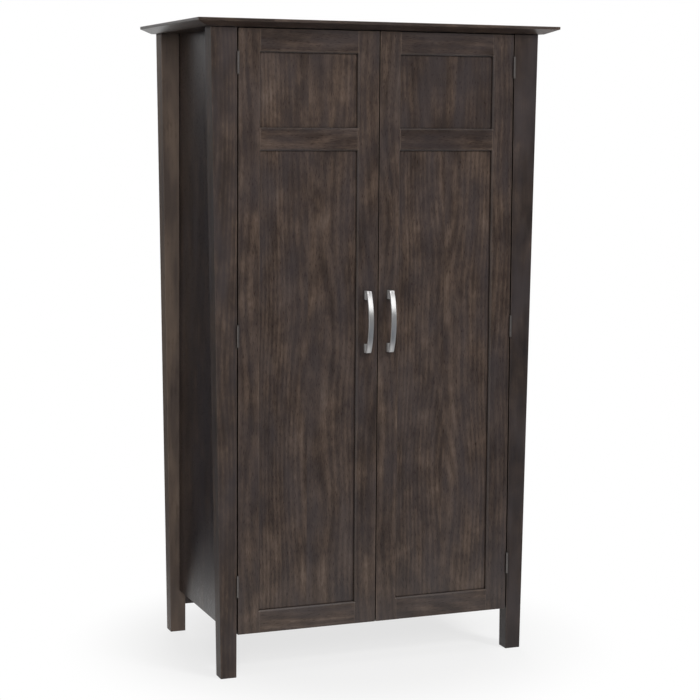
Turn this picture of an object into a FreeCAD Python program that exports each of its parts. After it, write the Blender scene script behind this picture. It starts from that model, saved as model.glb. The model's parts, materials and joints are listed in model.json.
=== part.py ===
import FreeCAD, Part
import os
import re

# A two-door computer armoire in millimetres. It stands on z = 0, centred on its plan, and faces -Y.
SIZES = {
    # Case: four posts, tapered on their outer faces, with panels between them
    "opening_width": 872,
    "case_depth": 578,
    "post_height": 1883,
    "post_top_width": 78,
    "post_foot_width": 48,
    "post_top_depth": 60,
    "post_foot_depth": 47,
    "side_panel_thickness": 19,
    "side_panel_bottom": 131,
    "side_panel_lap": 12,
    "bottom_panel_height": 131,
    "bottom_panel_thickness": 18,
    "bottom_housing": 6,
    "rail_thickness": 20,
    "top_rail_height": 52,
    "rear_rail_bottom": 82,
    "back_thickness": 8,
    "stop_gap": 2,
    # Top board: a thin edge with a long bevel under it
    "side_overhang": 50,
    "front_overhang": 46,
    "top_bevel_run": 36,
    "top_bevel_height": 14,
    "top_edge_height": 8,
    # Doors: framed, with flat panels held in grooves
    "door_thickness": 22,
    "door_bottom": 127,
    "door_top_gap": 3,
    "door_side_gap": 4,
    "door_centre_gap": 3,
    "stile_width": 66,
    "door_rail_width": 66,
    "upper_opening_height": 214,
    "door_panel_thickness": 8,
    "panel_recess": 10,
    "groove_depth": 10,
    "panel_play": 1,
    "frame_chamfer": 4,
    # Butt hinges
    "hinge_length": 64,
    "hinge_top_margin": 65,
    "hinge_bottom_margin": 112,
    "hinge_axis_proud": 4,
    "barrel_radius": 3.25,
    "hinge_pin_radius": 1.5,
    "hinge_pin_play": 0.05,
    "knuckle_gap": 0.3,
    "leaf_thickness": 2.2,
    "leaf_width": 17,
    "leaf_gap": 0.3,
    "hinge_screw_margin": 10,
    "hinge_screw_radius": 1.4,
    "hinge_screw_head_radius": 2.8,
    "hinge_screw_length": 16,
    # Arched pulls
    "pull_length": 183,
    "pull_width": 15,
    "pull_thickness": 5.5,
    "pull_end_height": 20,
    "pull_rise": 20,
    "pull_end_thickness": 6.5,
    "pull_bend_radius": 5,
    "pull_pad_height": 26,
    "pull_pad_depth": 12,
    "pull_above_middle": 29,
    "pull_edge_distance": 34.5,
    "pull_screw_radius": 2,
    "pull_screw_reach": 6,
    "pull_screw_head_radius": 4,
    "pull_screw_head_height": 2.4,
    # Magnetic catches and their strike plates
    "catch_distance": 110,
    "catch_length": 44,
    "catch_height": 14,
    "catch_depth": 18,
    "catch_gap": 0.3,
    "strike_length": 34,
    "strike_thickness": 1.2,
    # Inside: worktop on a partition and two inner gables, shelf on pins
    "bay_setback": 14,
    "gable_thickness": 36,
    "partition_thickness": 18,
    "worktop_height": 745,
    "worktop_thickness": 18,
    "shelf_height": 1350,
    "shelf_thickness": 20,
    "shelf_setback": 40,
    "shelf_play": 1,
    "shelf_pin_radius": 2.5,
    "shelf_pin_reach": 10,
    "shelf_pin_inset": 60,
    "shelf_hole_pitch": 64,
    # Tray and drawer on slides
    "pull_out_setback": 90,
    "slide_rear_gap": 40,
    "slide_space": 12.5,
    "slide_channel_thickness": 9,
    "slide_groove_depth": 5,
    "slide_play": 0.3,
    "keyboard_space": 72,
    "tray_thickness": 18,
    "tray_slide_height": 17,
    "tray_slide_groove": 8,
    "drawer_lift": 4,
    "drawer_front_height": 300,
    "drawer_front_thickness": 18,
    "drawer_front_gap": 2,
    "drawer_bottom_raise": 12,
    "drawer_bottom_thickness": 6,
    "drawer_side_height": 240,
    "drawer_side_thickness": 12,
    "drawer_slide_height": 35,
    "drawer_slide_groove": 14,
    "drawer_slide_raise": 100,
    "finger_notch_radius": 24,
    # Back panel fittings
    "grommet_distance": 210,
    "grommet_raise": 150,
    "grommet_bore_radius": 25,
    "grommet_wall": 3,
    "grommet_flange_radius": 34,
    "grommet_flange_thickness": 2.5,
    "back_screw_radius": 1.75,
    "back_screw_head_radius": 3.5,
    "back_screw_head_height": 2,
    "back_screw_length": 22,
    "back_screw_margin": 50,
}
SIDES = ("left", "right")
BACK_SCREWS_IN_A_ROW = 5
SHELF_HOLE_STEPS = (-2, -1, 0, 1, 2)

# Planes that many pieces share
HALF = "(opening_width / 2)"
FRONT = "((front_overhang - case_depth) / 2)"
REAR = "((front_overhang + case_depth) / 2)"
BACK_FACE = f"({REAR} - back_thickness)"
DOOR_BACK = f"({FRONT} + door_thickness)"
STOP_FACE = f"({DOOR_BACK} + stop_gap)"
BAY_FRONT = f"({DOOR_BACK} + bay_setback)"
DOOR_TOP = "(post_height - door_top_gap)"
DOOR_MIDDLE = f"((door_bottom + {DOOR_TOP}) / 2)"
CASE_FLOOR = "(bottom_panel_height + bottom_panel_thickness)"
WORKTOP_UNDER = "(worktop_height - worktop_thickness)"

doc = FreeCAD.newDocument("computer_armoire")
sheet = doc.addObject("Spreadsheet::Sheet", "Sizes")
for row, (alias, value) in enumerate(SIZES.items(), start=1):
    sheet.set(f"A{row}", alias)
    sheet.set(f"B{row}", str(value))
    sheet.setAlias(f"B{row}", alias)
doc.recompute()

nodes = []


def bind(piece, prop, text):
    """Ties a property to an expression written in the names of the sizes."""
    named = re.sub(r"[a-z_]+", lambda word: f"Sizes.{word[0]}" if word[0] in SIZES else word[0], text)
    piece.setExpression(prop, named)


def place(piece, point, direction=(0, 0, 1)):
    """Puts a piece's own origin at a point, with its own +Z along a direction."""
    turn = FreeCAD.Rotation(FreeCAD.Vector(0, 0, 1), FreeCAD.Vector(*direction))
    piece.Placement = FreeCAD.Placement(FreeCAD.Vector(), turn)
    for axis, text in zip("xyz", point):
        bind(piece, f"Placement.Base.{axis}", text)
    return piece


def block(name, x, y, z):
    """A rectangular piece between two planes on each axis."""
    piece = doc.addObject("Part::Box", name)
    for prop, (low, high) in zip(("Length", "Width", "Height"), (x, y, z)):
        bind(piece, prop, f"({high}) - ({low})")
    return place(piece, (x[0], y[0], z[0]))


def rod(name, start, direction, radius, length):
    """A round piece from a point along a direction."""
    piece = doc.addObject("Part::Cylinder", name)
    bind(piece, "Radius", radius)
    bind(piece, "Height", length)
    return place(piece, start, direction)


def taper(name, y, near, far):
    """A piece whose (x, z) ranges change evenly between two planes on y."""
    piece = doc.addObject("Part::Wedge", name)
    limits = {"Y": y, "X": near[0], "Z": near[1], "X2": far[0], "Z2": far[1]}
    for prop, (low, high) in limits.items():
        bind(piece, f"{prop}min", low)
        bind(piece, f"{prop}max", high)
    return piece


def upright_taper(name, z, foot, top):
    """A piece whose (x, y) ranges change evenly between two heights."""
    piece = taper(name, z, (foot[0], mirrored(foot[1])), (top[0], mirrored(top[1])))
    piece.Placement = FreeCAD.Placement(FreeCAD.Vector(), FreeCAD.Rotation(FreeCAD.Vector(1, 0, 0), 90))
    return piece


def mirrored(span):
    """The range on the other side of zero."""
    return f"-({span[1]})", f"-({span[0]})"


def centred(half):
    """The range from minus to plus a half width."""
    return f"-({half})", half


def outward(side, near, far):
    """The range on x between two distances from the middle, on one side."""
    return (near, far) if side == "right" else mirrored((near, far))


def at(side, distance):
    """The x at a distance from the middle, on one side."""
    return distance if side == "right" else f"-({distance})"


def facing(side, sign):
    """The direction away from the middle on one side, or towards it for sign -1."""
    return (sign if side == "right" else -sign, 0, 0)


def beyond(point, direction, distance):
    """The point at a distance from another along a direction."""
    return [f"{text} + {step} * ({distance})" for text, step in zip(point, direction)]


def joined(name, pieces):
    """One solid made of pieces that overlap or touch."""
    piece = doc.addObject("Part::MultiFuse", name)
    piece.Shapes = pieces
    return piece


def group(name, pieces):
    """Separate solids of the same kind, kept in one node."""
    piece = doc.addObject("Part::Compound", name)
    piece.Links = pieces
    return piece


def cut(name, base, tools):
    """A piece with the space of other pieces taken out of it."""
    for number, tool in enumerate(tools, start=1):
        piece = doc.addObject("Part::Cut", name if number == len(tools) else f"{name}_step_{number}")
        piece.Base = base
        piece.Tool = tool
        base = piece
    return base


def keep(piece):
    """Adds a finished piece to the nodes that are written out."""
    nodes.append(piece)
    return piece


def countersunk_screw(name, start, direction, sizes, head_height, length):
    """A flat-headed screw whose head is flush with the surface at its start."""
    head = doc.addObject("Part::Cone", f"{name}_head")
    bind(head, "Radius1", f"{sizes}_head_radius")
    bind(head, "Radius2", f"{sizes}_radius")
    bind(head, "Height", head_height)
    place(head, start, direction)
    shank_start = beyond(start, direction, head_height)
    shank = rod(f"{name}_shank", shank_start, direction, f"{sizes}_radius", f"{length} - {head_height}")
    return joined(name, [head, shank])


# Hinges. The pin stands in front of the seam between post and door, and each leaf is let into its wood.
SEAM = f"({HALF} - door_side_gap / 2)"
PIN_LINE = f"({FRONT} - hinge_axis_proud)"
KNUCKLE = "((hinge_length - 4 * knuckle_gap) / 5)"
HINGE_LOW_ENDS = {
    "upper": f"({DOOR_TOP} - hinge_top_margin - hinge_length)",
    "middle": f"({DOOR_MIDDLE} - hinge_length / 2)",
    "lower": "(door_bottom + hinge_bottom_margin)",
}


def leaf_screws(name, side, low, sign):
    """Three screws in a leaf: away from the seam into the post for sign 1, into the door for sign -1."""
    heights = {
        "low": f"{low} + hinge_screw_margin",
        "mid": f"{low} + hinge_length / 2",
        "high": f"{low} + hinge_length - hinge_screw_margin",
    }
    screws = []
    for level, height in heights.items():
        start = (at(side, f"{SEAM} + {sign} * leaf_gap / 2"), f"{FRONT} + leaf_width / 2", height)
        direction = facing(side, sign)
        screws.append(countersunk_screw(f"{name}_{level}", start, direction, "hinge_screw",
                                        "leaf_thickness", "hinge_screw_length"))
    return screws


def leaf(name, side, low, sign, knuckles, bore, screws):
    """A leaf with its share of the five knuckles, bored for the pin and countersunk for its screws."""
    faces = [f"{SEAM} + {sign} * leaf_gap / 2", f"{SEAM} + {sign} * (leaf_gap / 2 + leaf_thickness)"]
    width = outward(side, *faces[::sign])
    height = (low, f"{low} + hinge_length")
    pieces = [block(f"{name}_plate", width, (FRONT, f"{FRONT} + leaf_width"), height)]
    for knuckle in knuckles:
        start = f"({low} + {knuckle} * ({KNUCKLE} + knuckle_gap))"
        span = (start, f"{start} + {KNUCKLE}")
        pieces.append(block(f"{name}_neck_{knuckle}", width, (PIN_LINE, FRONT), span))
        pieces.append(rod(f"{name}_knuckle_{knuckle}", (at(side, SEAM), PIN_LINE, start), (0, 0, 1),
                          "barrel_radius", KNUCKLE))
    hole = rod(f"{name}_bore", (at(side, SEAM), PIN_LINE, low), (0, 0, 1), bore, "hinge_length")
    return cut(name, joined(f"{name}_blank", pieces), [hole] + screws)


case_leaves = []
case_screws = []
pins = []
door_leaves = {side: [] for side in SIDES}
door_screws = {side: [] for side in SIDES}
for side in SIDES:
    for level, low in HINGE_LOW_ENDS.items():
        name = f"{side}_{level}"
        screws = leaf_screws(f"{name}_case_screw", side, low, 1)
        case_leaves.append(leaf(f"{name}_case_leaf", side, low, 1, (0, 2, 4), "hinge_pin_radius", screws))
        case_screws += screws
        screws = leaf_screws(f"{name}_door_screw", side, low, -1)
        running_bore = "hinge_pin_radius + hinge_pin_play"
        door_leaves[side].append(leaf(f"{name}_door_leaf", side, low, -1, (1, 3), running_bore, screws))
        door_screws[side] += screws
        pins.append(rod(f"{name}_pin", (at(side, SEAM), PIN_LINE, low), (0, 0, 1),
                        "hinge_pin_radius", "hinge_length"))
hinge_case_leaves = keep(group("hinge_case_leaves", case_leaves))
hinge_case_screws = keep(group("hinge_case_screws", case_screws))
keep(group("hinge_pins", pins))

# Case floor, housed in the sides, and the rails and back between the posts
between_posts = centred(HALF)
bottom_panel = keep(block("bottom_panel", centred(f"({HALF} + bottom_housing)"), (STOP_FACE, BACK_FACE),
                          ("bottom_panel_height", CASE_FLOOR)))
TOP_RAIL_UNDER = "(post_height - top_rail_height)"
front_rail_depth = (STOP_FACE, f"{STOP_FACE} + rail_thickness")
rear_rail_depth = (f"{BACK_FACE} - rail_thickness", BACK_FACE)
top_rail_span = (TOP_RAIL_UNDER, "post_height")
keep(block("front_top_rail", between_posts, front_rail_depth, top_rail_span))
rear_top_rail_blank = block("rear_top_rail_blank", between_posts, rear_rail_depth, top_rail_span)
rear_bottom_rail_blank = block("rear_bottom_rail_blank", between_posts, rear_rail_depth,
                               ("rear_rail_bottom", "bottom_panel_height"))

# Screws that hold the back panel to the rear rails, in two even rows
row_heights = {
    "upper": "post_height - top_rail_height / 2",
    "lower": "(rear_rail_bottom + bottom_panel_height) / 2",
}
back_screws = []
for level, height in row_heights.items():
    for number in range(BACK_SCREWS_IN_A_ROW):
        share = number / (BACK_SCREWS_IN_A_ROW - 1) * 2 - 1
        start = (f"{share} * ({HALF} - back_screw_margin)", REAR, height)
        name = f"{level}_back_screw_{number}"
        back_screws.append(countersunk_screw(name, start, (0, -1, 0), "back_screw",
                                             "back_screw_head_height", "back_screw_length"))
back_screw_group = keep(group("back_screws", back_screws))
keep(cut("rear_top_rail", rear_top_rail_blank, [back_screw_group]))
keep(cut("rear_bottom_rail", rear_bottom_rail_blank, [back_screw_group]))

# Cable grommets: a flanged sleeve in the back panel above the worktop and another below it
grommet_places = {
    "upper": (at("left", "grommet_distance"), "worktop_height + grommet_raise"),
    "lower": (at("left", "grommet_distance"), f"{CASE_FLOOR} + grommet_raise"),
}
SLEEVE_RADIUS = "grommet_bore_radius + grommet_wall"
grommets = []
grommet_holes = []
for level, (x, z) in grommet_places.items():
    flange_start = (x, f"{BACK_FACE} - grommet_flange_thickness", z)
    flange = rod(f"{level}_grommet_flange", flange_start, (0, 1, 0), "grommet_flange_radius",
                 "grommet_flange_thickness")
    sleeve = rod(f"{level}_grommet_sleeve", (x, BACK_FACE, z), (0, 1, 0), SLEEVE_RADIUS, "back_thickness")
    bore = rod(f"{level}_grommet_bore", flange_start, (0, 1, 0), "grommet_bore_radius",
               "grommet_flange_thickness + back_thickness")
    grommets.append(cut(f"{level}_grommet", joined(f"{level}_grommet_blank", [flange, sleeve]), [bore]))
    grommet_holes.append(rod(f"{level}_grommet_hole", (x, BACK_FACE, z), (0, 1, 0), SLEEVE_RADIUS,
                             "back_thickness"))
keep(group("cable_grommets", grommets))
back_height = ("rear_rail_bottom", "post_height")
back_blank = block("back_panel_blank", between_posts, (BACK_FACE, REAR), back_height)
keep(cut("back_panel", back_blank, grommet_holes + [back_screw_group]))

# Shelf on four pins, with spare holes above and below them in the side panels
shelf_front = f"({BAY_FRONT} + shelf_setback)"
keep(block("upper_shelf", centred(f"({HALF} - shelf_play)"), (shelf_front, BACK_FACE),
           ("shelf_height", "shelf_height + shelf_thickness")))
pin_rows = {"front": f"{shelf_front} + shelf_pin_inset", "rear": f"{BACK_FACE} - shelf_pin_inset"}
shelf_pins = []
shelf_holes = {side: [] for side in SIDES}
for side in SIDES:
    for end, y in pin_rows.items():
        height = "(shelf_height - shelf_pin_radius)"
        start = (at(side, f"{HALF} - shelf_pin_reach"), y, height)
        shelf_pins.append(rod(f"{side}_{end}_shelf_pin", start, facing(side, 1), "shelf_pin_radius",
                              "2 * shelf_pin_reach"))
        for number, step in enumerate(SHELF_HOLE_STEPS, start=1):
            start = (at(side, HALF), y, f"{height} + {step} * shelf_hole_pitch")
            shelf_holes[side].append(rod(f"{side}_{end}_shelf_hole_{number}", start, facing(side, 1),
                                         "shelf_pin_radius", "shelf_pin_reach"))
keep(group("shelf_pins", shelf_pins))

# Side panels, flush inside with the posts and let into them, and the posts themselves
PANEL_INSET = "(post_foot_depth - side_panel_lap)"
side_panel_depth = (f"{FRONT} + {PANEL_INSET}", f"{REAR} - {PANEL_INSET}")
post_depths = {
    "front": ((FRONT, f"{FRONT} + post_foot_depth"), (FRONT, f"{FRONT} + post_top_depth")),
    "rear": ((f"{REAR} - post_foot_depth", REAR), (f"{REAR} - post_top_depth", REAR)),
}
for side in SIDES:
    panel_blank = block(f"{side}_side_panel_blank", outward(side, HALF, f"({HALF} + side_panel_thickness)"),
                        side_panel_depth, ("side_panel_bottom", "post_height"))
    holes = joined(f"{side}_shelf_holes", shelf_holes[side])
    side_panel = keep(cut(f"{side}_side_panel", panel_blank, [bottom_panel, holes]))
    foot_width = outward(side, HALF, f"({HALF} + post_foot_width)")
    top_width = outward(side, HALF, f"({HALF} + post_top_width)")
    for end, (foot_depth, top_depth) in post_depths.items():
        post_blank = upright_taper(f"{end}_{side}_post_blank", ("0", "post_height"),
                                   (foot_width, foot_depth), (top_width, top_depth))
        housings = [panel_blank, bottom_panel]
        if end == "front":
            housings += [hinge_case_leaves, hinge_case_screws]
        keep(cut(f"{end}_{side}_post", post_blank, housings))

# Top board, flush with the posts at the rear
BEVEL_TOP = "(post_height + top_bevel_height)"
top_half_width = f"({HALF} + post_top_width + side_overhang)"
top_plan = (centred(top_half_width), (f"{FRONT} - front_overhang", REAR))
soffit_half_width = f"({top_half_width} - top_bevel_run)"
soffit_plan = (centred(soffit_half_width), (f"{FRONT} - front_overhang + top_bevel_run", REAR))
top_bevel = upright_taper("top_board_bevel", ("post_height", BEVEL_TOP), soffit_plan, top_plan)
top_edge = block("top_board_edge", *top_plan, (BEVEL_TOP, f"{BEVEL_TOP} + top_edge_height"))
keep(joined("top_board", [top_bevel, top_edge]))

# Catches under the front top rail, each facing a strike plate on the back of its door
CATCH_UNDER = f"({TOP_RAIL_UNDER} - catch_height)"
STRIKE_FACE = f"({DOOR_BACK} + strike_thickness)"
catch_face = f"({STRIKE_FACE} + catch_gap)"
catches = []
for side in SIDES:
    length = outward(side, "catch_distance - catch_length / 2", "catch_distance + catch_length / 2")
    catches.append(block(f"{side}_catch", length, (catch_face, f"{catch_face} + catch_depth"),
                         (CATCH_UNDER, TOP_RAIL_UNDER)))
keep(group("door_catches", catches))

# Doors
HINGE_EDGE = f"({HALF} - door_side_gap)"
MEETING_EDGE = "(door_centre_gap / 2)"
OPENING_NEAR = f"({MEETING_EDGE} + stile_width)"
OPENING_FAR = f"({HINGE_EDGE} - stile_width)"
TOP_RAIL_LOW = f"({DOOR_TOP} - door_rail_width)"
MIDDLE_RAIL_HIGH = f"({TOP_RAIL_LOW} - upper_opening_height)"
MIDDLE_RAIL_LOW = f"({MIDDLE_RAIL_HIGH} - door_rail_width)"
BOTTOM_RAIL_HIGH = "(door_bottom + door_rail_width)"
frame_depth = (FRONT, DOOR_BACK)
groove_faces = (f"{FRONT} + panel_recess", f"{FRONT} + panel_recess + door_panel_thickness")
panel_openings = {"upper": (MIDDLE_RAIL_HIGH, TOP_RAIL_LOW), "lower": (BOTTOM_RAIL_HIGH, MIDDLE_RAIL_LOW)}
PULL_MIDDLE = f"({DOOR_MIDDLE} + pull_above_middle)"
PULL_LINE = f"({MEETING_EDGE} + pull_edge_distance)"
PULL_END_FACE = f"({FRONT} - pull_end_height)"
PULL_RADIUS = "((pull_rise * pull_rise + pull_length * pull_length / 4) / (2 * pull_rise))"
PULL_CENTRE = f"({PULL_END_FACE} - pull_rise + {PULL_RADIUS})"
BEND_REACH = f"({PULL_RADIUS} - pull_bend_radius)"
BEND_HALF_LENGTH = "(pull_length / 2 - pull_bend_radius)"


def chamfer_tool(name, side, span):
    """The flare that eases the front arris of the frame all round one panel opening."""
    wide = outward(side, f"{OPENING_NEAR} - frame_chamfer", f"{OPENING_FAR} + frame_chamfer")
    tall = (f"{span[0]} - frame_chamfer", f"{span[1]} + frame_chamfer")
    plain = (outward(side, OPENING_NEAR, OPENING_FAR), span)
    return taper(name, (FRONT, f"{FRONT} + frame_chamfer"), (wide, tall), plain)


def stile(name, side, edges, groove, tools):
    """An upright of the door frame, grooved along its inner edge from end to end."""
    height = ("door_bottom", DOOR_TOP)
    blank = block(f"{name}_blank", outward(side, *edges), frame_depth, height)
    channel = block(f"{name}_groove", outward(side, *groove), groove_faces, height)
    return keep(cut(name, blank, [channel] + tools))


def rail(name, side, span, grooved, tools):
    """A cross member whose stub tenons fill the grooves of the stiles."""
    tenons = outward(side, f"{OPENING_NEAR} - groove_depth", f"{OPENING_FAR} + groove_depth")
    body = block(f"{name}_body", outward(side, OPENING_NEAR, OPENING_FAR), frame_depth, span)
    tongue = block(f"{name}_tenons", tenons, groove_faces, span)
    low, high = span
    edges = {"under": (low, f"{low} + groove_depth"), "over": (f"{high} - groove_depth", high)}
    grooves = [block(f"{name}_groove_{edge}", tenons, groove_faces, edges[edge]) for edge in grooved]
    return keep(cut(name, joined(f"{name}_blank", [body, tongue]), grooves + tools))


def pull_screws(name, side):
    """Two round-headed screws through the stile, one into each foot of the pull."""
    screws = []
    for end, sign in (("lower", -1), ("upper", 1)):
        height = f"{PULL_MIDDLE} + {sign} * (pull_length / 2 - pull_pad_height / 2)"
        start = (at(side, PULL_LINE), DOOR_BACK, height)
        head = rod(f"{name}_{end}_head", start, (0, 1, 0), "pull_screw_head_radius",
                   "pull_screw_head_height")
        shank = rod(f"{name}_{end}_shank", start, (0, -1, 0), "pull_screw_radius",
                    "door_thickness + pull_screw_reach")
        screws.append(joined(f"{name}_{end}", [head, shank]))
    return keep(group(name, screws))


def bend_waste(name, width, tip, sign):
    """The corner that is lost where the bar turns back in a round bend, tangent to its arch and its end."""
    height = f"{tip} + {sign} * pull_bend_radius"
    depth = f"{PULL_CENTRE} - sqrt({BEND_REACH} * {BEND_REACH} - {BEND_HALF_LENGTH} * {BEND_HALF_LENGTH})"
    bend = rod(f"{name}_round", (width[0], depth, height), (1, 0, 0), "pull_bend_radius", "pull_width")
    span = (tip, f"{height} - {sign} * pull_bend_radius * {BEND_HALF_LENGTH} / {BEND_REACH}")
    corner = block(f"{name}_corner", width, (f"{PULL_END_FACE} - pull_rise", depth), span[::sign])
    return cut(name, corner, [bend])


def pull(name, side, screws):
    """An arched flat bar, turned back to the door at each end and widened there into a foot."""
    width = outward(side, f"{PULL_LINE} - pull_width / 2", f"{PULL_LINE} + pull_width / 2")
    centre = (width[0], PULL_CENTRE, PULL_MIDDLE)
    outer = rod(f"{name}_outer_curve", centre, (1, 0, 0), PULL_RADIUS, "pull_width")
    inner = rod(f"{name}_inner_curve", centre, (1, 0, 0), f"{PULL_RADIUS} - pull_thickness", "pull_width")
    ends = (f"{PULL_MIDDLE} - pull_length / 2", f"{PULL_MIDDLE} + pull_length / 2")
    reach = block(f"{name}_reach", width, (f"{PULL_END_FACE} - pull_rise", FRONT), ends)
    arch = doc.addObject("Part::Common", f"{name}_arch")
    arch.Base = reach
    arch.Tool = cut(f"{name}_curve", outer, [inner])
    pieces = [arch]
    waste = []
    for end, sign in (("lower", 1), ("upper", -1)):
        tip = ends[0] if end == "lower" else ends[1]
        waste.append(bend_waste(f"{name}_{end}_bend", width, tip, sign))
        for form, depth, height in (("end", "pull_end_height", "pull_end_thickness"),
                                    ("pad", "pull_pad_depth", "pull_pad_height")):
            span = (tip, f"{tip} + {sign} * {height}")
            pieces.append(block(f"{name}_{end}_{form}", width, (f"{FRONT} - {depth}", FRONT), span[::sign]))
    return keep(cut(name, joined(f"{name}_blank", pieces), waste + [screws]))


for side in SIDES:
    door = f"{side}_door"
    upper_chamfer = chamfer_tool(f"{door}_upper_chamfer", side, panel_openings["upper"])
    lower_chamfer = chamfer_tool(f"{door}_lower_chamfer", side, panel_openings["lower"])
    chamfers = [upper_chamfer, lower_chamfer]
    leaves = keep(group(f"{door}_hinge_leaves", door_leaves[side]))
    screws = keep(group(f"{door}_hinge_screws", door_screws[side]))
    handle_screws = pull_screws(f"{door}_pull_screws", side)
    stile(f"{door}_hinge_stile", side, (OPENING_FAR, HINGE_EDGE),
          (OPENING_FAR, f"{OPENING_FAR} + groove_depth"), chamfers + [leaves, screws])
    stile(f"{door}_meeting_stile", side, (MEETING_EDGE, OPENING_NEAR),
          (f"{OPENING_NEAR} - groove_depth", OPENING_NEAR), chamfers + [handle_screws])
    rail(f"{door}_top_rail", side, (TOP_RAIL_LOW, DOOR_TOP), ["under"], [upper_chamfer])
    rail(f"{door}_middle_rail", side, (MIDDLE_RAIL_LOW, MIDDLE_RAIL_HIGH), ["under", "over"], chamfers)
    rail(f"{door}_bottom_rail", side, ("door_bottom", BOTTOM_RAIL_HIGH), ["over"], [lower_chamfer])
    let_in = "(groove_depth - panel_play)"
    panel_width = outward(side, f"{OPENING_NEAR} - {let_in}", f"{OPENING_FAR} + {let_in}")
    for level, (low, high) in panel_openings.items():
        panel_height = (f"{low} - {let_in}", f"{high} + {let_in}")
        keep(block(f"{door}_{level}_panel", panel_width, groove_faces, panel_height))
    pull(f"{door}_pull", side, handle_screws)
    strike_width = outward(side, "catch_distance - strike_length / 2", "catch_distance + strike_length / 2")
    keep(block(f"{door}_strike_plate", strike_width, (DOOR_BACK, STRIKE_FACE),
               (CATCH_UNDER, TOP_RAIL_UNDER)))

# Lower bays: a partition in the middle and an inner gable at each side carry the worktop
bay_depth = (BAY_FRONT, BACK_FACE)
bay_height = (CASE_FLOOR, WORKTOP_UNDER)
keep(block("partition", centred("(partition_thickness / 2)"), bay_depth, bay_height))
for side in SIDES:
    keep(block(f"{side}_gable", outward(side, f"{HALF} - gable_thickness", HALF), bay_depth, bay_height))
keep(block("worktop", between_posts, bay_depth, (WORKTOP_UNDER, "worktop_height")))

# Slides: a grooved channel on each wall of a bay, and a bar that runs in it on each side of the pull-out
BAY_NEAR = "(partition_thickness / 2)"
BAY_FAR = f"({HALF} - gable_thickness)"
PULL_OUT_FRONT = f"({DOOR_BACK} + pull_out_setback)"
PULL_OUT_REAR = f"({BACK_FACE} - slide_rear_gap)"
pull_out_width = (f"{BAY_NEAR} + slide_space", f"{BAY_FAR} - slide_space")


def slides(name, side, depth, middle, height, groove):
    """Two channels, kept with the case, and two bars, kept with what slides."""
    channels = []
    bars = []
    for wall, plane, sign in (("near", BAY_NEAR, 1), ("far", BAY_FAR, -1)):
        face = f"{plane} + {sign} * slide_channel_thickness"
        groove_floor = f"{face} - {sign} * slide_groove_depth"
        bar_tip = f"{groove_floor} + {sign} * slide_play"
        bar_root = f"{plane} + {sign} * slide_space"
        tall = (f"{middle} - {height} / 2", f"{middle} + {height} / 2")
        slot = (f"{middle} - {groove} / 2", f"{middle} + {groove} / 2")
        bar_height = (f"{slot[0]} + slide_play", f"{slot[1]} - slide_play")
        blank = block(f"{name}_{wall}_channel_blank", outward(side, *(plane, face)[::sign]), depth, tall)
        trough = block(f"{name}_{wall}_trough", outward(side, *(groove_floor, face)[::sign]), depth, slot)
        channels.append(cut(f"{name}_{wall}_channel", blank, [trough]))
        bar_width = outward(side, *(bar_tip, bar_root)[::sign])
        bars.append(block(f"{name}_{wall}_bar", bar_width, depth, bar_height))
    keep(group(f"{name}_outer_slides", channels))
    keep(group(f"{name}_inner_slides", bars))


# Keyboard tray in the left bay, hung close under the worktop
TRAY_TOP = f"({WORKTOP_UNDER} - keyboard_space)"
tray_depth = (PULL_OUT_FRONT, PULL_OUT_REAR)
tray_height = (f"{TRAY_TOP} - tray_thickness", TRAY_TOP)
keep(block("keyboard_tray", outward("left", *pull_out_width), tray_depth, tray_height))
slides("tray", "left", tray_depth, f"({TRAY_TOP} - tray_thickness / 2)", "tray_slide_height",
       "tray_slide_groove")

# File drawer in the right bay, just above the case floor
DRAWER_LOW = f"({CASE_FLOOR} + drawer_lift)"
DRAWER_TOP = f"({DRAWER_LOW} + drawer_front_height)"
DRAWER_FLOOR_LOW = f"({DRAWER_LOW} + drawer_bottom_raise)"
DRAWER_FLOOR = f"({DRAWER_FLOOR_LOW} + drawer_bottom_thickness)"
drawer_depth = (f"{PULL_OUT_FRONT} + drawer_front_thickness", PULL_OUT_REAR)
drawer_height = (DRAWER_FLOOR, f"{DRAWER_FLOOR} + drawer_side_height")
front_width = outward("right", f"{BAY_NEAR} + drawer_front_gap", f"{BAY_FAR} - drawer_front_gap")
front_depth = (PULL_OUT_FRONT, drawer_depth[0])
front_blank = block("drawer_front_blank", front_width, front_depth, (DRAWER_LOW, DRAWER_TOP))
notch_start = (f"({BAY_NEAR} + {BAY_FAR}) / 2", PULL_OUT_FRONT, DRAWER_TOP)
finger_notch = rod("drawer_finger_notch", notch_start, (0, 1, 0), "finger_notch_radius",
                   "drawer_front_thickness")
keep(cut("drawer_front", front_blank, [finger_notch]))
left_side_faces = (pull_out_width[0], f"{pull_out_width[0]} + drawer_side_thickness")
right_side_faces = (f"{pull_out_width[1]} - drawer_side_thickness", pull_out_width[1])
keep(block("drawer_left_side", left_side_faces, drawer_depth, drawer_height))
keep(block("drawer_right_side", right_side_faces, drawer_depth, drawer_height))
keep(block("drawer_back", (left_side_faces[1], right_side_faces[0]),
           (f"{PULL_OUT_REAR} - drawer_side_thickness", PULL_OUT_REAR), drawer_height))
keep(block("drawer_bottom", pull_out_width, drawer_depth, (DRAWER_FLOOR_LOW, DRAWER_FLOOR)))
slides("drawer", "right", drawer_depth, f"({DRAWER_FLOOR} + drawer_slide_raise)", "drawer_slide_height",
       "drawer_slide_groove")

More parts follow.
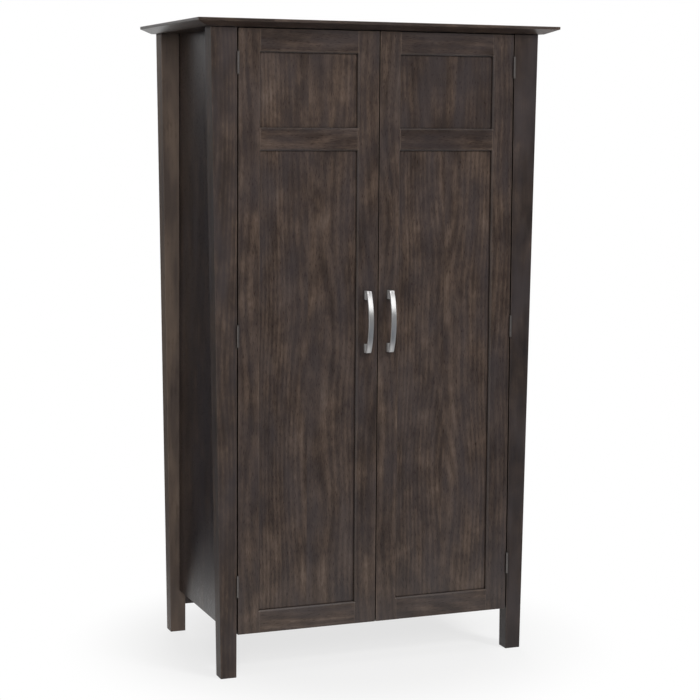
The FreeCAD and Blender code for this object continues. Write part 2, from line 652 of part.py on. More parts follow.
# Every piece has to be sound before any of them is written
doc.recompute()
for piece in doc.Objects:
    if "Invalid" in piece.State or "Error" in piece.State:
        raise RuntimeError(f"{piece.Label} failed: {piece.State}")
for piece in nodes:
    if piece.Shape.isNull() or not piece.Shape.isValid():
        raise RuntimeError(f"{piece.Label} has no valid shape")
os.makedirs("parts", exist_ok=True)
for piece in nodes:
    piece.Shape.exportStep(f"parts/{piece.Label}.step")
print(f"{len(nodes)} nodes, {sum(len(piece.Shape.Solids) for piece in nodes)} solids")
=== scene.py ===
# %% [markdown]
# This lesson dresses a computer armoire: a tall two-door cabinet of dark stained cherry with nickel pulls.
# Every board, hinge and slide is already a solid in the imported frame, in metres, so nothing is measured
# again. What is left for Blender is what the eye takes for real: eased edges, grain that runs the length of
# each board, a satin lacquer, brushed metal, and a plain studio to see them in.

# %% Load the frame
import json
import math
import zlib

import bpy
from mathutils import Euler, Matrix, Vector


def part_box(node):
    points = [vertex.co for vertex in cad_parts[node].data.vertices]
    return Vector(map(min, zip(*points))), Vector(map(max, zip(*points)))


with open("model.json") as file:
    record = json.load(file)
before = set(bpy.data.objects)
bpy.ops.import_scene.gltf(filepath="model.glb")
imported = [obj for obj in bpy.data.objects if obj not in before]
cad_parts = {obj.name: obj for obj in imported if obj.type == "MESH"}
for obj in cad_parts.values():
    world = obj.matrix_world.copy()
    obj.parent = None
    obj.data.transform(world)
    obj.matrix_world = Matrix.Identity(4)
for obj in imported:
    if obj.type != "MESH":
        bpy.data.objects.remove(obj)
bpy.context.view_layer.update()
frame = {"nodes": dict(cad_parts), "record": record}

# %% [markdown]
# The record says what each piece is made of, so the pieces are sorted by that and not by a list typed again
# here. A cabinet maker sorts a delivery in the same way: boards on one bench, fittings on another.

# %% Sort the pieces by what they are made of
by_slot = {}
for part in frame["record"]["subparts"]:
    by_slot.setdefault(part["material_slot"], []).append(part["node"])
for slot, names in by_slot.items():
    print(slot, len(names))

# %% [markdown]
# Paint charts and screens give colours as sRGB hex values, and shaders work in linear light, so one
# function turns the first into the second. A second small function adds a node: it sets the node's own
# settings, fills its inputs with numbers, and links an input where it is handed another node's output.

# %% Two helpers, for colours and for nodes


def linear(hex_colour):
    """An sRGB hex value as the linear colour that a shader takes."""
    channels = [int(hex_colour[start:start + 2], 16) / 255 for start in (1, 3, 5)]
    return [c / 12.92 if c <= 0.04045 else ((c + 0.055) / 1.055) ** 2.4 for c in channels] + [1.0]


def add(tree, kind, inputs=None, **settings):
    """Adds one node to a tree, with its settings, and its inputs as values or as links."""
    node = tree.nodes.new(kind)
    for name, value in settings.items():
        setattr(node, name, value)
    for socket, value in (inputs or {}).items():
        if isinstance(value, bpy.types.NodeSocket):
            tree.links.new(value, node.inputs[socket])
        else:
            node.inputs[socket].default_value = value
    return node


print("test grey:", [round(c, 3) for c in linear("#808080")])

# %% [markdown]
# No edge on real furniture is perfectly sharp. Boards are rubbed with fine paper before they are stained,
# and that small round is what catches a line of light along each post. It could be modelled into every
# solid, but a Bevel modifier does the same for all of them, leaves the solids as they are, and takes its
# width in real metres. The solids arrive as loose triangles, and a bevel needs whole faces that share their
# edges. So a Weld modifier joins the triangles, and a Decimate modifier melts those that lie flat together
# into one face. Then a few geometry nodes mark what to round: edges that stick out and are longer than a
# hinge, so that screw holes and recesses stay crisp. The same nodes drop the shading that came with the
# triangles, and let only gentle curves shade smooth.

# %% Mark the edges to ease
SHARP_CORNER = math.radians(40)
SMOOTH_CURVE = math.radians(30)
LONGER_THAN_A_HINGE = 0.066
EASE_MARK = "bevel_weight_edge"

marking = bpy.data.node_groups.new("edges_to_ease", "GeometryNodeTree")
for direction in ("INPUT", "OUTPUT"):
    marking.interface.new_socket("Geometry", in_out=direction, socket_type="NodeSocketGeometry")
solid = add(marking, "NodeGroupInput")
ends = add(marking, "GeometryNodeInputMeshEdgeVertices")
corner = add(marking, "GeometryNodeInputMeshEdgeAngle")
edge_length = add(marking, "ShaderNodeVectorMath", {0: ends.outputs["Position 1"],
                                                    1: ends.outputs["Position 2"]}, operation="DISTANCE")
is_long = add(marking, "ShaderNodeMath", {0: edge_length.outputs["Value"], 1: LONGER_THAN_A_HINGE},
              operation="GREATER_THAN")
sticks_out = add(marking, "ShaderNodeMath", {0: corner.outputs["Signed Angle"], 1: SHARP_CORNER},
                 operation="GREATER_THAN")
to_ease = add(marking, "ShaderNodeMath", {0: is_long.outputs[0], 1: sticks_out.outputs[0]},
              operation="MULTIPLY")
is_curve = add(marking, "ShaderNodeMath", {0: corner.outputs["Unsigned Angle"], 1: SMOOTH_CURVE},
               operation="LESS_THAN")
unshaded = add(marking, "GeometryNodeRemoveAttribute", {"Geometry": solid.outputs[0],
                                                        "Name": "custom_normal"})
shaded = add(marking, "GeometryNodeSetShadeSmooth", {"Geometry": unshaded.outputs[0],
                                                     "Shade Smooth": is_curve.outputs[0]}, domain="EDGE")
marked = add(marking, "GeometryNodeStoreNamedAttribute", {"Geometry": shaded.outputs[0], "Name": EASE_MARK,
                                                          "Value": to_ease.outputs[0]},
             data_type="FLOAT", domain="EDGE")
add(marking, "NodeGroupOutput", {"Geometry": marked.outputs[0]})
print("marking nodes:", len(marking.nodes))

# %% [markdown]
# The posts are rounded the most, because hands and cartons knock them. The joints of a door frame stay
# crisp. A pull is a curve made of short edges, so on the pulls every sharp edge is rounded, long or short.
# Widths are in millimetres, and a word in a piece's name picks its width.

# %% Ease the edges
EASED_MM = {"post": 2.2, "top_board": 0.9, "panel": 0.6, "rail": 0.5, "stile": 0.6}
PLAIN_EASE_MM = 0.8
EASE_SEGMENTS = 3
SAME_POINT = 0.00001
STILL_FLAT = math.radians(0.5)


def ease(piece, width_mm, only_marked):
    """Rounds the edges of a piece with a bevel of a real width, and counts the faces it then has."""
    joined = piece.modifiers.new("joined triangles", "WELD")
    joined.merge_threshold = SAME_POINT
    flat = piece.modifiers.new("whole faces", "DECIMATE")
    flat.decimate_type = "DISSOLVE"
    flat.angle_limit = STILL_FLAT
    piece.modifiers.new("edges to ease", "NODES").node_group = marking
    bevel = piece.modifiers.new("eased edges", "BEVEL")
    bevel.width = width_mm / 1000
    bevel.segments = EASE_SEGMENTS
    bevel.limit_method = "WEIGHT" if only_marked else "ANGLE"
    bevel.angle_limit = SHARP_CORNER
    bevel.use_clamp_overlap = False
    bevel.harden_normals = True
    return len(piece.evaluated_get(bpy.context.evaluated_depsgraph_get()).data.polygons)


wooden = by_slot["stained_hardwood"] + by_slot["backing_plywood"]
eased_faces = 0
for name in wooden + by_slot["brushed_nickel"]:
    widths = [width for word, width in EASED_MM.items() if word in name]
    eased_faces += ease(frame["nodes"][name], widths[0] if widths else PLAIN_EASE_MM, name in wooden)
print("eased", len(wooden), "boards and", len(by_slot["brushed_nickel"]), "pulls into", eased_faces, "faces")

# %% [markdown]
# The boards are cherry, stained nearly black and lacquered. Cherry takes stain unevenly, so under the
# colour there are cloudy patches, fine dark streaks along the grain and, where a board was cut close to the
# middle of the log, tall arches. All of that is one piece of wood in three dimensions: growth rings are
# tubes around the pith of the tree, a board is a slice out of them, and the arches appear by themselves
# where the slice cuts a tube at a slant. The whole figure goes into one node group. Each board then feeds
# it a direction, a centre, a seed and a shade of its own. Wide panels are glued up from narrower staves,
# and the group gives every stave another place in the log.

# %% Open the group for the wood figure
figure = bpy.data.node_groups.new("stained_cherry_figure", "ShaderNodeTree")
for socket, kind in (("Turn", "Vector"), ("Centre", "Vector"), ("Seed", "Float"), ("Staves", "Float"),
                     ("First stave", "Float"), ("Shade", "Float")):
    figure.interface.new_socket(socket, in_out="INPUT", socket_type="NodeSocket" + kind)
for socket, kind in (("Color", "Color"), ("Roughness", "Float"), ("Normal", "Vector")):
    figure.interface.new_socket(socket, in_out="OUTPUT", socket_type="NodeSocket" + kind)
board = add(figure, "NodeGroupInput")
place = add(figure, "ShaderNodeTexCoord")
on_board = add(figure, "ShaderNodeMapping", {"Vector": place.outputs["Object"],
                                             "Rotation": board.outputs["Turn"],
                                             "Location": board.outputs["Centre"]})
across = add(figure, "ShaderNodeSeparateXYZ", {"Vector": on_board.outputs["Vector"]})
print("figure inputs:", [socket.name for socket in board.outputs if socket.name])

# %% [markdown]
# Within the group, X runs across a board, Y through its thickness and Z along the grain. A stave is a step
# in X: rounding down gives each stave a whole number, and a white noise turns that number into three
# chances, which move the stave sideways, deeper into the log and a long way along it.

# %% Give each stave a place in the log
PITH_SPREAD = (0.14, 0.07, 40.0)
PITH_START = (-0.07, 0.02, 0.0)

stave_place = add(figure, "ShaderNodeMath", {0: across.outputs["X"], 1: board.outputs["Staves"],
                                             2: board.outputs["First stave"]}, operation="MULTIPLY_ADD")
stave = add(figure, "ShaderNodeMath", {0: stave_place.outputs[0]}, operation="FLOOR")
stave_seed = add(figure, "ShaderNodeMath", {0: stave.outputs[0], 1: board.outputs["Seed"]}, operation="ADD")
chance = add(figure, "ShaderNodeTexWhiteNoise", {"W": stave_seed.outputs[0]}, noise_dimensions="1D")
pith = add(figure, "ShaderNodeVectorMath", {0: chance.outputs["Color"], 1: PITH_SPREAD, 2: PITH_START},
           operation="MULTIPLY_ADD")
in_log = add(figure, "ShaderNodeVectorMath", {0: on_board.outputs["Vector"], 1: pith.outputs["Vector"]},
             operation="ADD")
log_axes = add(figure, "ShaderNodeSeparateXYZ", {"Vector": in_log.outputs["Vector"]})
print("a stave may lie up to", PITH_SPREAD[1] + PITH_START[1], "m from the pith")

# %% [markdown]
# The rings are a wave texture, which draws tubes around Z. A log is never straight, so a slow noise first
# bends the pith towards the board and away from it, and that is what makes arches. Rings in cherry are 2 to
# 5 mm apart. They are drawn at 10 mm, because finer ones would be lost from where the camera stands. The
# texture turns through twenty radians in each unit, so at a scale of one a ring is tau / 20 wide, and the
# spacing is turned into a scale from that.

# %% Draw the growth rings
RING_MM = 10
BEND_LENGTH_MM = 700
BEND_DEPTH = 0.09
WAVE_PERIOD = math.tau / 20
RING_SCALE = WAVE_PERIOD / (RING_MM / 1000)
RING_WOBBLE = 2.8
RING_WOBBLE_SCALE = 0.3


def per_metre(width_mm, length_mm):
    """The scale of a pattern that is so wide across the grain and so long along it."""
    return (1000 / width_mm, 1000 / width_mm, 1000 / length_mm)


bend_point = add(figure, "ShaderNodeVectorMath", {0: in_log.outputs["Vector"],
                                                  1: per_metre(2 * BEND_LENGTH_MM, BEND_LENGTH_MM)},
                 operation="MULTIPLY")
bend = add(figure, "ShaderNodeTexNoise", {"Vector": bend_point.outputs["Vector"], "Scale": 1.0,
                                          "Detail": 1.0})
pith_depth = add(figure, "ShaderNodeMath", {0: bend.outputs["Fac"], 1: BEND_DEPTH, 2: log_axes.outputs["Y"]},
                 operation="MULTIPLY_ADD")
ring_point = add(figure, "ShaderNodeCombineXYZ", {"X": log_axes.outputs["X"], "Y": pith_depth.outputs[0]})
rings = add(figure, "ShaderNodeTexWave", {"Vector": ring_point.outputs["Vector"], "Scale": RING_SCALE,
                                          "Distortion": RING_WOBBLE, "Detail": 2.0,
                                          "Detail Scale": RING_WOBBLE_SCALE},
            wave_type="RINGS", rings_direction="Z", wave_profile="SIN")
print("ring scale:", round(RING_SCALE, 1))

# %% [markdown]
# Five more patterns make the stained surface. Bands and streaks are bundles of fibres that drank more or
# less stain. Pores are much finer: on the real board they are a tenth of a millimetre wide, and here they
# are drawn fifteen times as coarse so that they show. Clouds are the uneven patches that cherry is known
# for, and hue is where the stain dried cooler. All five are noises, stretched along the grain by their
# width and length.

# %% Draw bands, streaks, pores, clouds and hue
PATTERNS_MM = {"bands": (26, 420), "streaks": (5, 80), "pores": (1.5, 15), "clouds": (64, 92),
               "hue": (60, 260)}
PATTERN_DETAIL = {"bands": 2.0, "streaks": 4.0, "pores": 2.0, "clouds": 5.0, "hue": 2.0}
PATTERN_ROUGHNESS = 0.6

patterns = {}
for name, (width, length) in PATTERNS_MM.items():
    point = add(figure, "ShaderNodeVectorMath", {0: in_log.outputs["Vector"], 1: per_metre(width, length)},
                operation="MULTIPLY")
    patterns[name] = add(figure, "ShaderNodeTexNoise", {"Vector": point.outputs["Vector"], "Scale": 1.0,
                                                        "Detail": PATTERN_DETAIL[name],
                                                        "Roughness": PATTERN_ROUGHNESS})
print("patterns:", ", ".join(patterns))

# %% [markdown]
# The patterns are added up, each with its own share, into one tone from dark to light, and a colour ramp
# turns the tone into stain: charcoal in the deep streaks, brown where the wood shows through, a little gold
# in the lightest. A second, slower noise lays a cooler charcoal over some places, because a black stain
# doesn't dry evenly.

# %% Mix the tone and the colours
TONE_SHARES = (
    (patterns["bands"].outputs["Fac"], 0.36),
    (patterns["streaks"].outputs["Fac"], 0.36),
    (patterns["clouds"].outputs["Fac"], 0.9),
    (patterns["pores"].outputs["Fac"], 0.5),
    (rings.outputs["Fac"], 0.14),
    (chance.outputs["Value"], 0.12),
)
STAIN = ((0.0, "#1a1413"), (0.36, "#342a25"), (0.5, "#42362f"), (0.64, "#51433a"), (1.0, "#74655a"))
COOL_STAIN = "#3b3536"
COOL_FROM, COOL_TO, COOL_AT_MOST = 0.38, 0.66, 0.6
MIX_FACTOR, MIX_A, MIX_B, MIX_RESULT = 0, 6, 7, 2

middle = 0.5 - sum(share for _, share in TONE_SHARES) / 2
tone = add(figure, "ShaderNodeMath", {0: board.outputs["Shade"], 1: middle}, operation="ADD").outputs[0]
for pattern, share in TONE_SHARES:
    tone = add(figure, "ShaderNodeMath", {0: pattern, 1: share, 2: tone}, operation="MULTIPLY_ADD").outputs[0]
stain = add(figure, "ShaderNodeValToRGB", {"Fac": tone})
stops = stain.color_ramp.elements
while len(stops) < len(STAIN):
    stops.new(0.5)
for stop, (position, colour) in zip(stops, STAIN):
    stop.position = position
    stop.color = linear(colour)
cool_share = add(figure, "ShaderNodeMapRange", {"Value": patterns["hue"].outputs["Fac"],
                                                "From Min": COOL_FROM, "From Max": COOL_TO,
                                                "To Max": COOL_AT_MOST})
stained = add(figure, "ShaderNodeMix", {MIX_FACTOR: cool_share.outputs["Result"],
                                        MIX_A: stain.outputs["Color"], MIX_B: linear(COOL_STAIN)},
              data_type="RGBA")
print("tone starts from", round(middle, 3))

# %% [markdown]
# Sanding between coats rubs the stain thin along every edge, and an eased edge catches a line of light, so
# edges are painted a shade lighter than the face: partly wear, partly a painted highlight. The Bevel node
# finds them: it gives the normal that a rounded edge would have, and where that leaves the real normal, an
# edge is near. The clouds break the line up, because nobody rubs evenly.

# %% Rub the edges and paint their highlight
EDGE_WEAR_AND_HIGHLIGHT_WIDTH = 0.0022
# The lighter edge colour is worn stain and a painted highlight together.
WORN_AND_HIGHLIT_EDGE = "#77695c"
EDGE_MARK_STARTS, EDGE_MARK_FULL = 0.99, 0.85
NEARBY_RAYS = 4

rounded = add(figure, "ShaderNodeBevel", {"Radius": EDGE_WEAR_AND_HIGHLIGHT_WIDTH}, samples=NEARBY_RAYS)
true_face = add(figure, "ShaderNodeNewGeometry")
flatness = add(figure, "ShaderNodeVectorMath", {0: rounded.outputs["Normal"],
                                                1: true_face.outputs["True Normal"]}, operation="DOT_PRODUCT")
edge = add(figure, "ShaderNodeMapRange", {"Value": flatness.outputs["Value"], "From Min": EDGE_MARK_STARTS,
                                          "From Max": EDGE_MARK_FULL})
wear_and_highlight = add(figure, "ShaderNodeMath", {0: edge.outputs["Result"], 1: patterns["clouds"].outputs["Fac"]},
          operation="MULTIPLY")
worn_and_highlit = add(figure, "ShaderNodeMix", {MIX_FACTOR: wear_and_highlight.outputs[0], MIX_A: stained.outputs[MIX_RESULT],
                                       MIX_B: linear(WORN_AND_HIGHLIT_EDGE)}, data_type="RGBA")
print("edges are rubbed over", EDGE_WEAR_AND_HIGHLIGHT_WIDTH * 1000, "mm")

# %% [markdown]
# From a few steps away the narrow gaps round the doors and the corners of the panels are black lines,
# because little light gets in. Geometry alone leaves them brown, because the lamps here shine straight in,
# so this shade is painted into the colour. The Ambient Occlusion node measures how shut in a point is,
# over a few millimetres, and the colour turns towards black there.

# %% Paint shade into the gaps
GAP_REACH = 0.008
# Painted shade: the colour that shut-in gaps and corners are darkened towards.
PAINTED_GAP_SHADE = "#0c0a0a"
GAP_STARTS, GAP_FULL = 0.75, 0.3

open_share = add(figure, "ShaderNodeAmbientOcclusion", {"Distance": GAP_REACH}, samples=NEARBY_RAYS)
painted_shade_share = add(figure, "ShaderNodeMapRange", {"Value": open_share.outputs["AO"], "From Min": GAP_STARTS,
                                             "From Max": GAP_FULL})
with_painted_shade = add(figure, "ShaderNodeMix", {MIX_FACTOR: painted_shade_share.outputs["Result"],
                                         MIX_A: worn_and_highlit.outputs[MIX_RESULT], MIX_B: linear(PAINTED_GAP_SHADE)},
               data_type="RGBA")
print("gaps narrower than", GAP_REACH * 1000, "mm are darkened")

# %% [markdown]
# Lacquer fills most of the grain but sinks a little into the pores. So the same pores that darken the
# colour also make the surface slightly rougher and lower, through a bump of a few hundredths of a
# millimetre.

# %% Finish the group
LACQUER_ROUGHNESS = (0.26, 0.38)
PORE_RANGE = (0.3, 0.7)
PORE_DEPTH = 0.00006

gloss = add(figure, "ShaderNodeMapRange", {"Value": patterns["pores"].outputs["Fac"],
                                           "From Min": PORE_RANGE[0], "From Max": PORE_RANGE[1],
                                           "To Min": LACQUER_ROUGHNESS[0], "To Max": LACQUER_ROUGHNESS[1]})
relief = add(figure, "ShaderNodeBump", {"Height": patterns["pores"].outputs["Fac"], "Distance": PORE_DEPTH,
                                        "Strength": 1.0})
add(figure, "NodeGroupOutput", {"Color": with_painted_shade.outputs[MIX_RESULT], "Roughness": gloss.outputs["Result"],
                                "Normal": relief.outputs["Normal"]})
print("figure nodes:", len(figure.nodes))

# %% [markdown]
# A board has a grain direction, a face and a width. They nearly always follow its shape: the grain runs
# along the longest side and the face is across the shortest, so both are read from the board's own box. A
# few pieces break the rule, such as the small upper panels of the doors, which are wider than high and
# still have upright grain. A few boards get a tone that is lighter or darker than the rest. That is partly
# stain that never takes quite alike, and partly painted light: the lower panels and the rear left post are
# painted lighter where the lamps reach them less, the top rails darker where the lamps are stronger, and
# the front posts darker against the sheen that their duller lacquer adds.

# %% Turn the grain for each board
AXES = "xyz"
GRAIN_OF = {"left_door_upper_panel": "z", "right_door_upper_panel": "z", "keyboard_tray": "x",
            "drawer_front": "x"}
TONES_AND_PAINTED_LIGHT = {
    # The rear left post's large lift is painted light: its face sits behind the side and gets less lamp
    # light.
    "rear_left_post": 0.62, "front_left_post": -0.12, "front_right_post": -0.28, "left_side_panel": -0.12,
    "left_door_hinge_stile": 0.06, "left_door_top_rail": -0.13, "left_door_upper_panel": 0.04,
    "left_door_lower_panel": 0.04, "right_door_top_rail": -0.13, "right_door_middle_rail": -0.17,
    "right_door_upper_panel": -0.11, "right_door_lower_panel": 0.02, "right_door_meeting_stile": -0.05,
    "right_door_hinge_stile": -0.13,
}
QUARTER = math.pi / 2
TURNS = {"zy": (0, 0, 0), "zx": (0, 0, QUARTER), "xy": (0, -QUARTER, 0), "xz": (-QUARTER, -QUARTER, 0),
         "yx": (QUARTER, 0, QUARTER), "yz": (QUARTER, 0, 0)}
STAVE_WIDTH = 0.15
SEEDS, SEEDS_PER_UNIT = 997, 10


def board_layout(name):
    """How the figure lies in a board: its turn, its centre after that turn, its staves, seed and shade."""
    low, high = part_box(name)
    sides = dict(zip(AXES, Vector(high) - Vector(low)))
    grain = GRAIN_OF.get(name) or max(sides, key=sides.get)
    face = min((axis for axis in AXES if axis != grain), key=sides.get)
    width = sides[(set(AXES) - {grain, face}).pop()]
    turn = Euler(TURNS[grain + face])
    centre = turn.to_matrix() @ ((Vector(low) + Vector(high)) / 2)
    staves = max(1, round(width / STAVE_WIDTH))
    return {"Turn": turn, "Centre": -centre, "Staves": staves / width, "First stave": staves / 2,
            "Seed": zlib.crc32(name.encode()) % SEEDS / SEEDS_PER_UNIT, "Shade": TONES_AND_PAINTED_LIGHT.get(name, 0.0)}


print("left lower panel:", board_layout("left_door_lower_panel"))

# %% [markdown]
# Satin lacquer over stained cherry: the lacquer is clear, so what it gives the eye is a soft sheen at low
# angles and hardly any at all from straight ahead. Each board gets its own material, and all of them share
# the figure. In the photograph the outer face of a post is lighter than the panel beside it, though both
# face the same way. A duller lacquer on the posts does that: it blurs more of the bright room into what the
# face reflects.

# %% Finish the boards
LACQUER_IOR = 1.5
LACQUER_SPECULAR = 0.35
POST_DULLNESS = 1.6


def dress(name, material):
    """Gives a piece of the frame one material."""
    piece = frame["nodes"][name]
    piece.data.materials.clear()
    piece.data.materials.append(material)


def new_material(name):
    """An empty material with its shader, ready for the shader's sockets to be set."""
    material = bpy.data.materials.new(name)
    material.use_nodes = True
    return material, material.node_tree, material.node_tree.nodes["Principled BSDF"]


for name in wooden:
    material, tree, surface = new_material("lacquered_stained_cherry_" + name)
    wood = add(tree, "ShaderNodeGroup", node_tree=figure)
    for socket, value in board_layout(name).items():
        wood.inputs[socket].default_value = value
    dullness = POST_DULLNESS if name.endswith("post") else 1.0
    gloss = add(tree, "ShaderNodeMath", {0: wood.outputs["Roughness"], 1: dullness}, operation="MULTIPLY")
    tree.links.new(wood.outputs["Color"], surface.inputs["Base Color"])
    tree.links.new(gloss.outputs[0], surface.inputs["Roughness"])
    tree.links.new(wood.outputs["Normal"], surface.inputs["Normal"])
    surface.inputs["IOR"].default_value = LACQUER_IOR
    surface.inputs["Specular IOR Level"].default_value = LACQUER_SPECULAR
    dress(name, material)
print("finished", len(wooden), "boards")

# %% [markdown]
# The pulls are brushed nickel: a belt has run along the bar, so the surface is covered with fine lines in
# that direction. Across the lines light scatters widely, and along them hardly at all, so the bar goes from
# white to grey within a finger's width where its arch turns away from the lamp. The shader's anisotropy
# does that, with a tangent that runs round the upright bar. The lines themselves are a noise that is very
# long along Z. Real brush lines are hundredths of a millimetre wide, and these are drawn coarser so that
# they show.

# %% Brush the nickel
BRUSH_LINE_MM = (0.35, 60)
BRUSHED_ONE_WAY = 0.9
NICKEL = "#d4d3d2"
NICKEL_DULL = "#bbbab9"
NICKEL_ROUGHNESS = (0.32, 0.46)
BRUSH_DEPTH = 0.00001


def noise_of_size(tree, size_mm, detail):
    """A noise that lies on a piece, with spots as wide and as long as a size in millimetres."""
    place = add(tree, "ShaderNodeTexCoord")
    point = add(tree, "ShaderNodeVectorMath", {0: place.outputs["Object"], 1: per_metre(*size_mm)},
                operation="MULTIPLY")
    return add(tree, "ShaderNodeTexNoise", {"Vector": point.outputs["Vector"], "Scale": 1.0,
                                            "Detail": detail})


nickel, tree, surface = new_material("brushed_nickel")
lines = noise_of_size(tree, BRUSH_LINE_MM, detail=3.0)
metal = add(tree, "ShaderNodeMix", {MIX_FACTOR: lines.outputs["Fac"], MIX_A: linear(NICKEL_DULL),
                                    MIX_B: linear(NICKEL)}, data_type="RGBA")
gloss = add(tree, "ShaderNodeMapRange", {"Value": lines.outputs["Fac"], "To Min": NICKEL_ROUGHNESS[0],
                                         "To Max": NICKEL_ROUGHNESS[1]})
round_the_bar = add(tree, "ShaderNodeTangent", direction_type="RADIAL", axis="Z")
relief = add(tree, "ShaderNodeBump", {"Height": lines.outputs["Fac"], "Distance": BRUSH_DEPTH,
                                      "Strength": 1.0})
tree.links.new(metal.outputs[MIX_RESULT], surface.inputs["Base Color"])
tree.links.new(gloss.outputs["Result"], surface.inputs["Roughness"])
tree.links.new(relief.outputs["Normal"], surface.inputs["Normal"])
tree.links.new(round_the_bar.outputs["Tangent"], surface.inputs["Tangent"])
surface.inputs["Metallic"].default_value = 1.0
surface.inputs["Anisotropic"].default_value = BRUSHED_ONE_WAY
for name in by_slot["brushed_nickel"]:
    dress(name, nickel)
print("brushed", by_slot["brushed_nickel"])

# %% [markdown]
# Screws, slides and pins are zinc-plated steel. Plating is a thin bright coat that dulls in patches, so the
# eye reads a grey metal with a faint cloudiness. The hinges show from the front, so their maker toned them
# down to pewter, which stays in the background beside dark wood. It is the same steel with a darker coat,
# so one loop makes both finishes.

# %% Plate the steel
PLATE_CLOUD_MM = (9, 9)
PLATES = {
    "zinc_plated_steel": {"bright": "#a7a9ab", "dull": "#8b8d90", "roughness": (0.28, 0.46)},
    "pewter_toned_steel": {"bright": "#7a7673", "dull": "#5f5b59", "roughness": (0.3, 0.44)},
}
steels = {}
for finish, plate in PLATES.items():
    steels[finish], tree, surface = new_material(finish)
    clouds = noise_of_size(tree, PLATE_CLOUD_MM, detail=4.0)
    metal = add(tree, "ShaderNodeMix", {MIX_FACTOR: clouds.outputs["Fac"], MIX_A: linear(plate["dull"]),
                                        MIX_B: linear(plate["bright"])}, data_type="RGBA")
    gloss = add(tree, "ShaderNodeMapRange", {"Value": clouds.outputs["Fac"], "To Min": plate["roughness"][0],
                                             "To Max": plate["roughness"][1]})
    tree.links.new(metal.outputs[MIX_RESULT], surface.inputs["Base Color"])
    tree.links.new(gloss.outputs["Result"], surface.inputs["Roughness"])
    surface.inputs["Metallic"].default_value = 1.0
for name in by_slot["plain_steel"]:
    dress(name, steels["pewter_toned_steel" if "hinge" in name else "zinc_plated_steel"])
print("plated", len(by_slot["plain_steel"]), "pieces")

# %% [markdown]
# The cable grommets and the catches are moulded plastic, black right through. A mould leaves a fine even
# grain on the surface, which is why such a piece looks grey where light grazes it and never has a sharp
# highlight.

# %% Mould the plastic
MOULD_GRAIN_MM = (0.6, 0.6)
MOULD_DEPTH = 0.00002
BLACK = "#17181a"
BLACK_WORN = "#242527"
PLASTIC_ROUGHNESS = 0.5

plastic, tree, surface = new_material("moulded_black_abs")
grain = noise_of_size(tree, MOULD_GRAIN_MM, detail=2.0)
skin = add(tree, "ShaderNodeMix", {MIX_FACTOR: grain.outputs["Fac"], MIX_A: linear(BLACK),
                                   MIX_B: linear(BLACK_WORN)}, data_type="RGBA")
relief = add(tree, "ShaderNodeBump", {"Height": grain.outputs["Fac"], "Distance": MOULD_DEPTH,
                                      "Strength": 1.0})
tree.links.new(skin.outputs[MIX_RESULT], surface.inputs["Base Color"])
tree.links.new(relief.outputs["Normal"], surface.inputs["Normal"])
surface.inputs["Roughness"].default_value = PLASTIC_ROUGHNESS
for name in by_slot["black_plastic"]:
    dress(name, plastic)
print("moulded", by_slot["black_plastic"])

# %% [markdown]
# The studio is white paper that runs out to a white surround. To keep the picture white without pouring
# light on the armoire, the paper and the world glow only for the camera and in reflections, which the Light
# Path node tells apart. For everything else the paper is plain paper. Close to the armoire some of that
# plain paper is mixed back in, so that a soft shadow stays under the feet, and further out it fades into
# the white.

# %% Lay the paper and the surround
PAPER_SIZE = 60.0
PAPER_WHITE = "#f4f4f3"
PAPER_ROUGHNESS = 0.9
SHADOW_SHARE = 0.26
SHADOW_REACH = (0.4, 0.9)
SURROUND_LIGHT = 0.07
WHITE = (1.0, 1.0, 1.0, 1.0)


def seen_directly(tree):
    """One where a ray comes from the camera, a reflection or a see-through surface, and nought elsewhere."""
    path = add(tree, "ShaderNodeLightPath")
    seen = path.outputs["Is Camera Ray"]
    for kind in ("Is Glossy Ray", "Is Transmission Ray"):
        seen = add(tree, "ShaderNodeMath", {0: seen, 1: path.outputs[kind]}, operation="MAXIMUM").outputs[0]
    return seen


bpy.ops.mesh.primitive_plane_add(size=PAPER_SIZE)
floor = bpy.context.object
floor.name = "studio_paper"
paper, tree, surface = new_material("matt_white_paper")
surface.inputs["Base Color"].default_value = linear(PAPER_WHITE)
surface.inputs["Roughness"].default_value = PAPER_ROUGHNESS
surface.inputs["Specular IOR Level"].default_value = 0.0
place = add(tree, "ShaderNodeTexCoord")
distance = add(tree, "ShaderNodeVectorMath", {0: place.outputs["Object"]}, operation="LENGTH")
white_share = add(tree, "ShaderNodeMapRange", {"Value": distance.outputs["Value"],
                                               "From Min": SHADOW_REACH[0], "From Max": SHADOW_REACH[1],
                                               "To Min": 1 - SHADOW_SHARE}, interpolation_type="SMOOTHSTEP")
glow_share = add(tree, "ShaderNodeMath", {0: seen_directly(tree), 1: white_share.outputs["Result"]},
                 operation="MULTIPLY")
glow = add(tree, "ShaderNodeEmission", {"Color": WHITE, "Strength": 1.0})
paper_mix = add(tree, "ShaderNodeMixShader", {0: glow_share.outputs[0], 1: surface.outputs["BSDF"],
                                              2: glow.outputs["Emission"]})
tree.links.new(paper_mix.outputs["Shader"], tree.nodes["Material Output"].inputs["Surface"])
floor.data.materials.append(paper)

surround = bpy.data.worlds.new("white_surround")
bpy.context.scene.world = surround
surround.use_nodes = True
tree = surround.node_tree
level = add(tree, "ShaderNodeMapRange", {"Value": seen_directly(tree), "To Min": SURROUND_LIGHT,
                                         "To Max": 1.0})
tree.links.new(level.outputs["Result"], tree.nodes["Background"].inputs["Strength"])
tree.nodes["Background"].inputs["Color"].default_value = WHITE
print("paper", PAPER_SIZE, "m wide; surround", SURROUND_LIGHT, "for the light that falls on the armoire")

